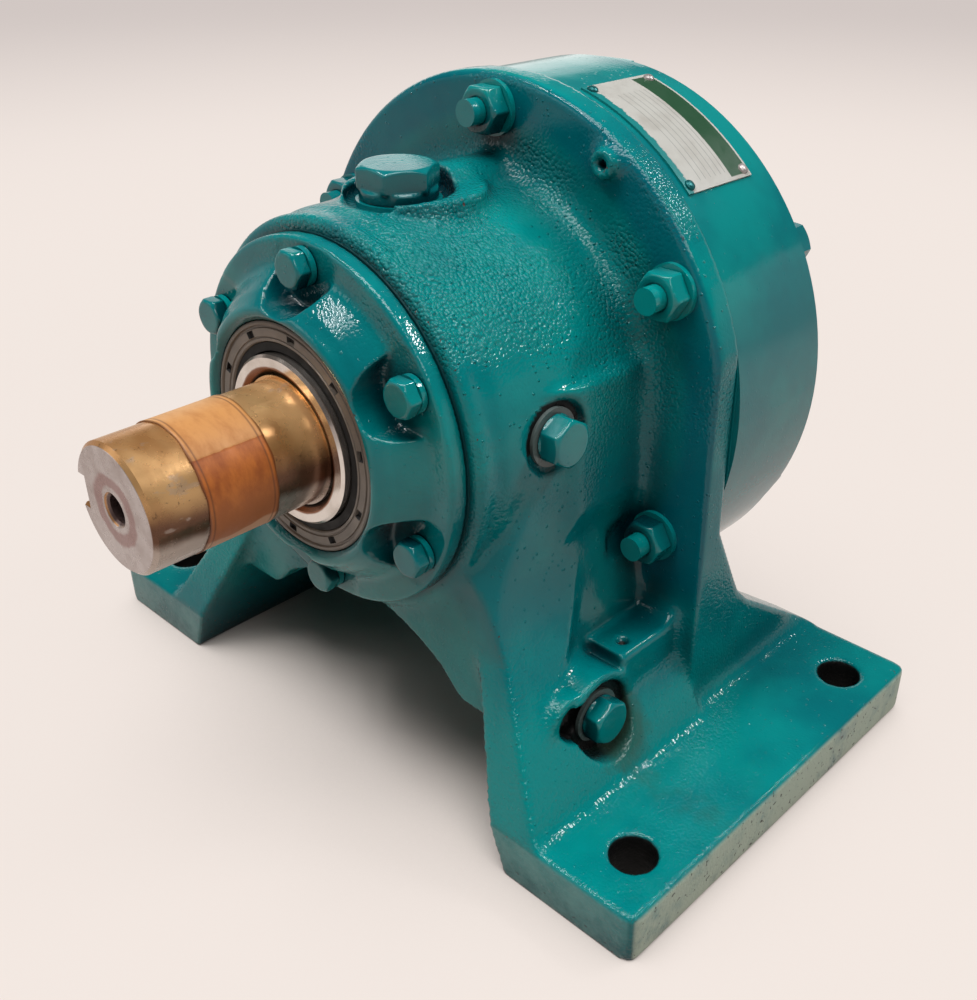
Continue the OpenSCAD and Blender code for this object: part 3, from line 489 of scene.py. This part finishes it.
def oiled_shaft(name):
    """Ground steel under a film of old oil, bare on its end face."""
    t = Tree(name)
    angle, y, radius = t.round_shaft()
    bore = t.step(radius, 0.0062, 0.0056)
    face = t.step(y, SHAFT_LOW.y + 0.0002, SHAFT_LOW.y + 0.0001)
    rings = t.noise(700.0, 2.0, 0.5, t.stretched(0.05, 1.0, 0.05))
    t.set(base_color=t.mix(t.most(face, bore), oil_film(t, angle), end_steel(t, radius, bore)),
          metallic=0.6, roughness=t.uneven(t.noise(110.0, 4.0), 0.2, 0.34),
          normal=t.bump(rings, 0.00006, 0.4, t.bump(t.noise(160.0), 0.0002, 0.4)))
    return t.mat


def collar_steel(name):
    """Bright turned ring, brown on its inner bevel for old oil and painted reflection of the
    oiled shaft, and painted black beside the shaft as shadow.
    """
    t = Tree(name)
    radius = t.round_shaft()[2]
    steel = t.patches(t.noise(60.0, 4.0), (0.35, 0.7), srgb(236, 228, 220),
                      srgb(206, 194, 184))
    # Old oil and painted reflection of the oiled shaft: brown on the inner bevel
    bevel_oil_and_reflection = t.step(t.wavy(radius, t.noise(70.0), 0.0012), 0.0292, 0.0284)
    steel = t.mix(bevel_oil_and_reflection, steel, srgb(132, 84, 54))
    # Painted shadow: near black beside the shaft
    steel = t.mix(t.step(radius, 0.0266, 0.0258), steel, srgb(26, 17, 12))
    t.set(base_color=steel, metallic=0.95,
          roughness=t.uneven(t.noise(110.0, 4.0), 0.14, 0.26),
          normal=t.bump(t.noise(200.0), 0.0001, 0.3))
    return t.mat


def waxed_paper(name, seam):
    """Paper wrap soaked with oil, fibrous: painted paler above the seam angle as lit paper with
    a painted sheen on top, brown below it for oil and painted shade.
    """
    t = Tree(name)
    angle, y, _ = t.round_shaft()
    fibre = t.noise(90.0, 5.0, 0.65, t.stretched(1.0, 2.0, 1.0))
    # Below the seam: brown for oil, darkened further as painted shade
    wet_and_shaded = t.patches(fibre, (0.3, 0.7), srgb(190, 108, 42), srgb(150, 76, 26))
    deep = t.step(t.wavy(angle, fibre, 30.0), 88.0, 125.0)
    wet_and_shaded = t.mix(deep, wet_and_shaded, srgb(172, 100, 52))
    # Dry paper above the seam, painted paler as lit
    dry_and_lit = t.patches(fibre, (0.35, 0.7), srgb(202, 142, 82), srgb(182, 120, 62))
    # Painted sheen along the top of the wrap
    dry_and_lit = t.tint(dry_and_lit, srgb(224, 176, 122), t.step(angle, 20.0, -30.0), 0.6)
    torn = t.wavy(angle, t.noise(260.0, 3.0), 3.0)
    body = t.mix(t.step(torn, seam + 1.0, seam + 1.8), dry_and_lit, wet_and_shaded)
    pale = t.step(t.wavy(angle, t.noise(40.0), 30.0), 137.0, 141.0)
    body = t.mix(pale, body, srgb(206, 158, 124))
    # Each edge has a dark rim and a thinner line beside it
    half = (WRAP_Y[1] - WRAP_Y[0]) / 2
    from_middle = t.math("ABSOLUTE", t.math("SUBTRACT", y, sum(WRAP_Y) / 2))
    rim = t.step(from_middle, half - 0.0009, half - 0.0002)
    line = t.band(from_middle, (half - 0.0026, half - 0.0019), (half - 0.0019, half - 0.0014))
    body = t.tint(body, srgb(92, 50, 26), t.plus(rim, line), 0.65)
    t.set(base_color=body, roughness=t.uneven(fibre, 0.42, 0.6),
          normal=t.bump(fibre, 0.00025, 0.6))
    return t.mat


def printed_plate(name):
    """White enamelled plate with a dark green band and thin ruled lines, no lettering."""
    t = Tree(name)
    angle, y, _ = t.round_shaft()
    width = PLATE_HIGH.y - PLATE_LOW.y
    across = t.math("DIVIDE", t.math("SUBTRACT", y, PLATE_LOW.y), width)
    start, end = (math.degrees(math.atan2(x, z - AXIS_Z))
                  for x, z in ((PLATE_LOW.x, PLATE_HIGH.z), (PLATE_HIGH.x, PLATE_LOW.z)))
    along = t.math("DIVIDE", t.math("SUBTRACT", angle, start), end - start)

    def inside(value, low, high, soft=0.004):
        return t.band(value, (low - soft, low + soft), (high - soft, high + soft))

    colour = t.patches(t.noise(90.0, 4.0), (0.4, 0.75), srgb(188, 187, 181),
                       srgb(172, 169, 162))
    green = t.times(inside(across, 0.70, 0.975), inside(along, 0.03, 0.97))
    colour = t.mix(green, colour, srgb(34, 76, 50))
    lines = t.most(*(inside(across, place - 0.004, place + 0.004, 0.003)
                     for place in (0.26, 0.34, 0.42, 0.50, 0.58, 0.65)))
    colour = t.tint(colour, srgb(70, 84, 82), t.times(lines, inside(along, 0.16, 0.93)), 0.55)
    overspray = t.step(t.wavy(across, t.noise(260.0, 4.0, 0.7), 0.10), 0.135, 0.120)
    colour = t.mix(overspray, colour, srgb(0, 124, 124))
    t.set(base_color=colour, roughness=t.uneven(t.noise(200.0), 0.28, 0.42),
          normal=t.bump(t.noise(500.0), 0.0001, 0.25))
    return t.mat


PAINT_CASING = casing_paint("teal_paint_casing")
PAINT_COVER = paint("teal_paint_cover", 0.08, 0.3, 1.0, 1.45)
PAINT_SMOOTH = paint("teal_paint_smooth", 0.02, 0.12, 0.4, 1.55, 0.0)
PAINT_BOLT = paint("teal_paint_fastener", 0.04, 0.12, 0.3, 1.5)
PAINT_SEAM = paint("teal_paint_seam", 0.02, 0.12, 0.0, 1.4, 0.0)
DARK_SEAM = dull("dark_seam", srgb(0, 62, 66), 0.4)
STEEL = metal("bearing_steel", srgb(190, 190, 194), 0.2)
SEAL_CASE = dull("seal_case", srgb(134, 124, 114), 0.45)
SEAL_NOTCH = dull("seal_notch", srgb(16, 15, 15), 0.7)
PAPER = waxed_paper("waxed_paper", WRAP_SEAM)
WASHER = dull("plug_washer", srgb(96, 108, 106), 0.3)

SLOT_MATERIAL = {
    "paint": PAINT_SMOOTH,
    "output_shaft_steel": oiled_shaft("oiled_shaft_steel"),
    "input_shaft_steel": STEEL,
    "collar_steel": collar_steel("collar_steel"),
    "bearing_steel": STEEL,
    "disc_steel": STEEL,
    "spring_steel": metal("dark_steel", srgb(92, 92, 96), 0.38),
    "seal_rubber": dull("seal_rubber", srgb(9, 8, 8), 0.75),
    "seal_case": SEAL_CASE,
    "gasket": dull("gasket_sheet", srgb(26, 26, 26), 0.8),
    "cage_brass": metal("cage_brass", srgb(196, 156, 84), 0.34),
    "nameplate": printed_plate("printed_plate"),
    "rivet_metal": rivet_metal("rivet_metal"),
}

# The unit was sprayed after assembly, so the gaskets' edges are under the paint too,
# and the washers of the sunk plugs are half sprayed over.
PAINTED_OVER = {"cover_gasket": DARK_SEAM, "front_gasket": PAINT_SEAM,
                "rear_gasket": DARK_SEAM, "level_plug_washer": WASHER,
                "drain_plug_washer": WASHER}


def dress_nodes():
    for name, obj in NODES.items():
        material = PAINTED_OVER.get(name, SLOT_MATERIAL[SUBPARTS[name]["material_slot"]])
        if not obj.data.materials:
            obj.data.materials.append(material)
        for slot in obj.material_slots:
            slot.material = material


# ---------------------------------------------------------------- mesh helpers

def link(obj):
    SCENE.collection.objects.link(obj)
    return obj


def shade_smooth(mesh):
    for poly in mesh.polygons:
        poly.use_smooth = True


def from_bmesh(name, bm):
    """Linked object with a bmesh's faces; the bmesh is freed."""
    mesh = bpy.data.meshes.new(name)
    bm.to_mesh(mesh)
    bm.free()
    return link(bpy.data.objects.new(name, mesh))


def applied(obj):
    """Turns an object's modifiers into its mesh."""
    graph = bpy.context.evaluated_depsgraph_get()
    mesh = bpy.data.meshes.new_from_object(obj.evaluated_get(graph), depsgraph=graph)
    obj.modifiers.clear()
    obj.data = mesh
    return mesh


class Surface:
    """A mesh's points as an array, with the steps that soften it."""

    def __init__(self, mesh):
        self.mesh = mesh
        self.count = len(mesh.vertices)
        points = np.empty(3 * self.count, np.float32)
        mesh.vertices.foreach_get("co", points)
        self.points = points.reshape(-1, 3).astype(float)
        ends = np.empty(2 * len(mesh.edges), np.int32)
        mesh.edges.foreach_get("vertices", ends)
        self.a, self.b = ends.reshape(-1, 2).T
        self.valence = np.bincount(ends, minlength=self.count)

    def mean(self, column):
        """Mean of one value over each point's neighbours."""
        return (np.bincount(self.a, column[self.b], self.count)
                + np.bincount(self.b, column[self.a], self.count)) / self.valence

    def write(self):
        self.mesh.vertices.foreach_set("co", self.points.astype(np.float32).ravel())
        self.mesh.update()

    def normals(self):
        self.write()
        values = np.empty(3 * self.count, np.float32)
        self.mesh.vertex_normals.foreach_get("vector", values)
        return values.reshape(-1, 3)

    def pull(self):
        """Way from each point to the mean of its neighbours."""
        return np.stack([self.mean(column) for column in self.points.T], 1) - self.points

    def relax(self, steps, proud, hollow, where=1.0):
        """Smooths by shares: proud for edges that stand out, hollow for inner corners."""
        strength = 0.6
        steps_per_normal = 6
        for step in range(steps):
            if step % steps_per_normal == 0:
                normal = self.normals()
            shift = self.pull()
            outward = np.einsum("ij,ij->i", shift, normal) > 0
            share = strength * np.where(outward, hollow, proud) * where
            self.points += share[:, None] * shift

    def mark(self, scale, seat):
        """Keeps how far edges stand out and corners are filled, and where the seats are."""
        bend = np.einsum("ij,ij->i", self.pull(), self.normals())
        for _ in range(3):
            bend = self.mean(bend)
        for name, values in (("proud", -bend / scale), ("hollow", bend / scale),
                             ("seat", seat)):
            layer = self.mesh.attributes.new(name, "FLOAT", "POINT")
            layer.data.foreach_set("value", np.clip(values, 0, 1).astype(np.float32))


def stand_in(obj, node, material):
    """Puts an object in a CAD node's place, on the same body."""
    obj.data.materials.clear()
    obj.data.materials.append(material)
    shade_smooth(obj.data)
    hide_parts(node)
    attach(obj, BODY_OF[node])
    return obj


# ---------------------------------------------------------------- painted skins

def corners(node):
    """Low and high corner of a CAD node's box, as arrays."""
    return [np.array(corner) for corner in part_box(node)]


def in_box(points, low, high):
    return np.all((points > low) & (points < high), axis=1)


def kept_crisp(points):
    """True for the oil plugs' seats and the ledges on the legs, which stay as they were cut."""
    mirrored = np.column_stack((np.abs(points[:, 0]), points[:, 1:]))
    found = in_box(mirrored, *(np.array(corner) for corner in LEDGE_BOX))
    for node in PLUG_WASHERS:
        low, high = corners(node)
        found |= in_box(points, low - PLUG_SEAT_REACH, high + PLUG_SEAT_REACH)
    return found


def in_seat(points):
    """True for points sunk beside an oil plug's washer."""
    found = np.zeros(len(points), bool)
    for node, margin in SEAT_MARGIN.items():
        low, high = corners(node)
        size = high - low
        axis = int(np.argmin(size))
        centre = (low + high) / 2
        flat = np.delete(points - centre, axis, 1)
        near = np.hypot(*flat.T) < size.max() / 2 + margin
        if node == "level_plug_washer":
            near &= points[:, 2] > centre[2] - 0.004
        near &= points[:, axis] < high[axis] + 0.0004
        found |= near & (points[:, axis] > low[axis] - SEAT_DEPTH)
    return found


def soften(node, material, voxel, filling, share, sharp_radius=0.0):
    """Painted copy of a CAD node with rounded edges and filled corners, voxel in metres."""
    obj = link(bpy.data.objects.new(node + "_skin", NODES[node].data.copy()))
    weld = obj.modifiers.new("weld", "WELD")
    weld.merge_threshold = 1e-6
    remesh = obj.modifiers.new("remesh", "REMESH")
    remesh.mode = "VOXEL"
    remesh.voxel_size = voxel
    surface = Surface(applied(obj))
    rounding_steps = 2
    surface.relax(rounding_steps, 1.0, 1.0)
    from_axis = np.hypot(surface.points[:, 0], surface.points[:, 2] - AXIS_Z)
    free = (from_axis > sharp_radius) & ~kept_crisp(surface.points)
    surface.relax(filling, 0.0, 1.0, np.where(free, 1.0, 0.0))
    surface.points = np.clip(surface.points, *corners(node))
    surface.write()
    surface.mark(0.10 * voxel, in_seat(surface.points))
    decimate = obj.modifiers.new("decimate", "DECIMATE")
    decimate.ratio = share
    applied(obj)
    stand_in(obj, node, material)


def soften_all():
    soften("casing", PAINT_CASING, 0.0013, 22, 0.4, CASING_SHARP_R)
    soften("output_cover", PAINT_COVER, 0.0008, 12, 0.45, COVER_SHARP_R)
    for node in ("cover_bolts", "through_bolt_nuts", "fill_plug", "level_plug", "drain_plug"):
        soften(node, PAINT_BOLT, 0.00045, 6, 0.4)


# ---------------------------------------------------------------- turned pieces

def ring_mesh(name, profile, columns):
    """Closed lathe about the shaft axis. profile(angle) gives (radius, y) pairs in metres."""
    bm = bmesh.new()
    rings = []
    for i in range(columns):
        angle = math.tau * i / columns
        rings.append([bm.verts.new((r * math.sin(angle), y, AXIS_Z + r * math.cos(angle)))
                      for r, y in profile(math.degrees(angle))])
    for i, ring in enumerate(rings):
        after = rings[(i + 1) % columns]
        for j in range(len(ring)):
            k = (j + 1) % len(ring)
            bm.faces.new((ring[j], ring[k], after[k], after[j]))
    bmesh.ops.recalc_face_normals(bm, faces=bm.faces)
    return from_bmesh(name, bm)


def make_wrap():
    """Paper band round the shaft, its end lapped over itself at the seam."""
    y_front, y_rear = WRAP_Y
    inner = OUTPUT_R + 0.00005
    paper = 0.00020
    lap = 0.00014
    lap_start = 250
    rows = 24

    def profile(angle):
        turn = (angle - WRAP_SEAM) % 360
        a = math.radians(angle)
        ripple = 0.00004 * (math.sin(7 * a) + math.sin(11 * a + 1.0))
        ragged = 0.00025 * (math.sin(5 * a) + 0.6 * math.sin(13 * a + 2.0))
        face = inner + paper + (lap if turn > lap_start else 0.0) + ripple
        outer = []
        for i in range(rows + 1):
            u = i / rows
            curl = 0.00012 * abs(2 * u - 1) ** 8
            outer.append((face + curl, y_front + (y_rear - y_front) * u + ragged * (1 - 2 * u)))
        return outer + [(inner, outer[-1][1]), (inner, outer[0][1])]

    wrap = ring_mesh("paper_wrap", profile, 288)
    wrap.data.materials.append(PAPER)
    shade_smooth(wrap.data)
    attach(wrap, "output")


def make_seal_face():
    """Seal case with its pressed grooves and the small square windows round its ring."""
    front = CASE_LOW.y
    rear = CASE_HIGH.y
    outer = CASE_HIGH.x
    face = front + 0.0003
    groove = front + 0.0009
    lip = front + 0.0044
    window_depth = 0.0012
    window_inner, window_outer = 0.0388, 0.0413
    pitch = 360 / 10
    first_window = 8.2
    window_half = 2.6

    def profile(angle):
        turn = (angle - first_window + pitch / 2) % pitch - pitch / 2
        sunk = face + (window_depth if abs(turn) < window_half else 0.0)
        return [(outer, rear), (outer, face), (outer - 0.0005, front),
                (outer - 0.0014, front), (outer - 0.0018, groove), (outer - 0.0024, groove),
                (outer - 0.0027, face), (window_outer + 0.0001, face),
                (window_outer - 0.0001, sunk), (window_inner + 0.0001, sunk),
                (window_inner - 0.0001, face), (0.0384, front + 0.0008),
                (0.0381, front + 0.0008), (0.0379, front + 0.0004), (0.0370, front + 0.0005),
                (0.0366, front + 0.0011), (0.0364, lip), (0.0420, lip), (0.0420, rear)]

    case = ring_mesh("seal_face", profile, 360)
    stand_in(case, "output_seal_case", SEAL_CASE)
    case.data.materials.append(SEAL_NOTCH)
    for poly in case.data.polygons:
        poly.use_smooth = False
        x, y, z = poly.center
        in_ring = window_inner < math.hypot(x, z - AXIS_Z) < window_outer
        if in_ring and front + 0.0006 < y < front + 0.002:
            poly.material_index = 1


# ---------------------------------------------------------------- stage, lamps and camera

def floor_material():
    """Matt floor that shows a pale colour, painted darker far from the part as falloff of
    light, and dark only close under the part, where painted contact shade from the occlusion
    deepens the part's own shadow.
    """
    t = Tree("pale_floor")
    t.set(base_color=t.mix(t.noise(3.0, 2.0), srgb(184, 176, 170), srgb(192, 185, 180)),
          roughness=0.7, specular_ior_level=0.1)
    x, y, _ = t.xyz()
    away = t.length(x, y)
    # Painted falloff of light: the shown colour darkens far from the part
    shade = t.mix(t.step(away, 0.5, 2.6), srgb(250, 239, 232), srgb(212, 202, 198))
    outside = t.most(t.math("SUBTRACT", t.math("ABSOLUTE", x), FOOT_SIDE),
                     t.math("SUBTRACT", t.math("ABSOLUTE", y), FOOT_END))
    # Painted contact shade: the glow fades where the occlusion node finds the part close by, so
    # the part's own shadow shows darker there
    open_air = t.times(t.step(t.occlusion(0.22, 16), 0.0, 0.9), t.step(outside, -0.05, 0.0))
    far = t.plus(0.85, t.times(t.step(away, 0.3, 1.3), 0.12))
    t.glow(shade, t.times(open_air, far))
    return t.mat


def make_stage():
    """Pale round floor whose edge curves up into a low wall."""
    flat = 3.0
    bend = 0.9
    wall = 0.3
    columns = 64
    profile = [(flat * i / 6, 0.0) for i in range(1, 7)]
    profile += [(flat + bend * math.sin(a), bend - bend * math.cos(a))
                for a in [math.radians(10 * i) for i in range(1, 10)]]
    profile.append((flat + bend, bend + wall))
    bm = bmesh.new()
    centre = bm.verts.new((0, 0, 0))
    rings = []
    for r, z in profile:
        rings.append([bm.verts.new((r * math.cos(a), r * math.sin(a), z))
                      for a in [math.tau * i / columns for i in range(columns)]])
    for i in range(columns):
        k = (i + 1) % columns
        bm.faces.new((centre, rings[0][i], rings[0][k]))
        for low, high in zip(rings, rings[1:]):
            bm.faces.new((low[i], high[i], high[k], low[k]))
    floor = from_bmesh("floor", bm)
    shade_smooth(floor.data)
    floor.data.materials.append(floor_material())


def make_world():
    """Pale to the camera, and faint as a light and in reflections."""
    world = bpy.data.worlds.new("studio")
    SCENE.world = world
    world.use_nodes = True
    tree = world.node_tree
    path = tree.nodes.new("ShaderNodeLightPath")
    strength = WORLD_LIGHT
    for ray, share in (("Is Camera Ray", 1 - WORLD_LIGHT), ("Is Glossy Ray", WORLD_MIRRORED),
                       ("Is Transmission Ray", WORLD_MIRRORED)):
        add = tree.nodes.new("ShaderNodeMath")
        add.operation = "MULTIPLY_ADD"
        add.inputs[1].default_value = share
        tree.links.new(path.outputs[ray], add.inputs[0])
        if isinstance(strength, float):
            add.inputs[2].default_value = strength
        else:
            tree.links.new(strength, add.inputs[2])
        strength = add.outputs[0]
    background = tree.nodes["Background"]
    background.inputs["Color"].default_value = (*srgb(222, 212, 207), 1)
    tree.links.new(strength, background.inputs["Strength"])


def make_lamps():
    for name, place, size, power, colour in LAMPS:
        data = bpy.data.lights.new(name, "AREA")
        data.energy = power
        data.shape = "RECTANGLE"
        data.size, data.size_y = size
        data.color = colour
        lamp = link(bpy.data.objects.new(name, data))
        lamp.location = place
        aim = Vector(LAMP_TARGET) - Vector(place)
        lamp.rotation_euler = aim.to_track_quat("-Z", "Y").to_euler()


def make_camera():
    """Camera at the reference's viewing angle."""
    data = bpy.data.cameras.new("camera")
    data.sensor_width = 36.0
    data.sensor_fit = "AUTO"
    data.lens = 41.6
    data.shift_x = -0.0395
    data.shift_y = 0.008
    data.clip_start = 0.02
    data.clip_end = 20.0
    camera = link(bpy.data.objects.new("camera", data))
    turn, lift, roll = (math.radians(a) for a in CAMERA_TURNS)
    back = Vector((math.sin(turn) * math.cos(lift), -math.cos(turn) * math.cos(lift),
                   math.sin(lift)))
    right = Vector((math.cos(turn), math.sin(turn), 0.0))
    up = back.cross(right)
    rolled_right = math.cos(roll) * right + math.sin(roll) * up
    rolled_up = -math.sin(roll) * right + math.cos(roll) * up
    basis = Matrix((rolled_right, rolled_up, back)).transposed()
    camera.matrix_world = Matrix.Translation(CAMERA_PLACE) @ basis.to_4x4()
    SCENE.camera = camera


dress_nodes()
soften_all()
make_wrap()
make_seal_face()
make_stage()
make_world()
make_lamps()
make_camera()
SCENE.view_settings.view_transform = "Standard"
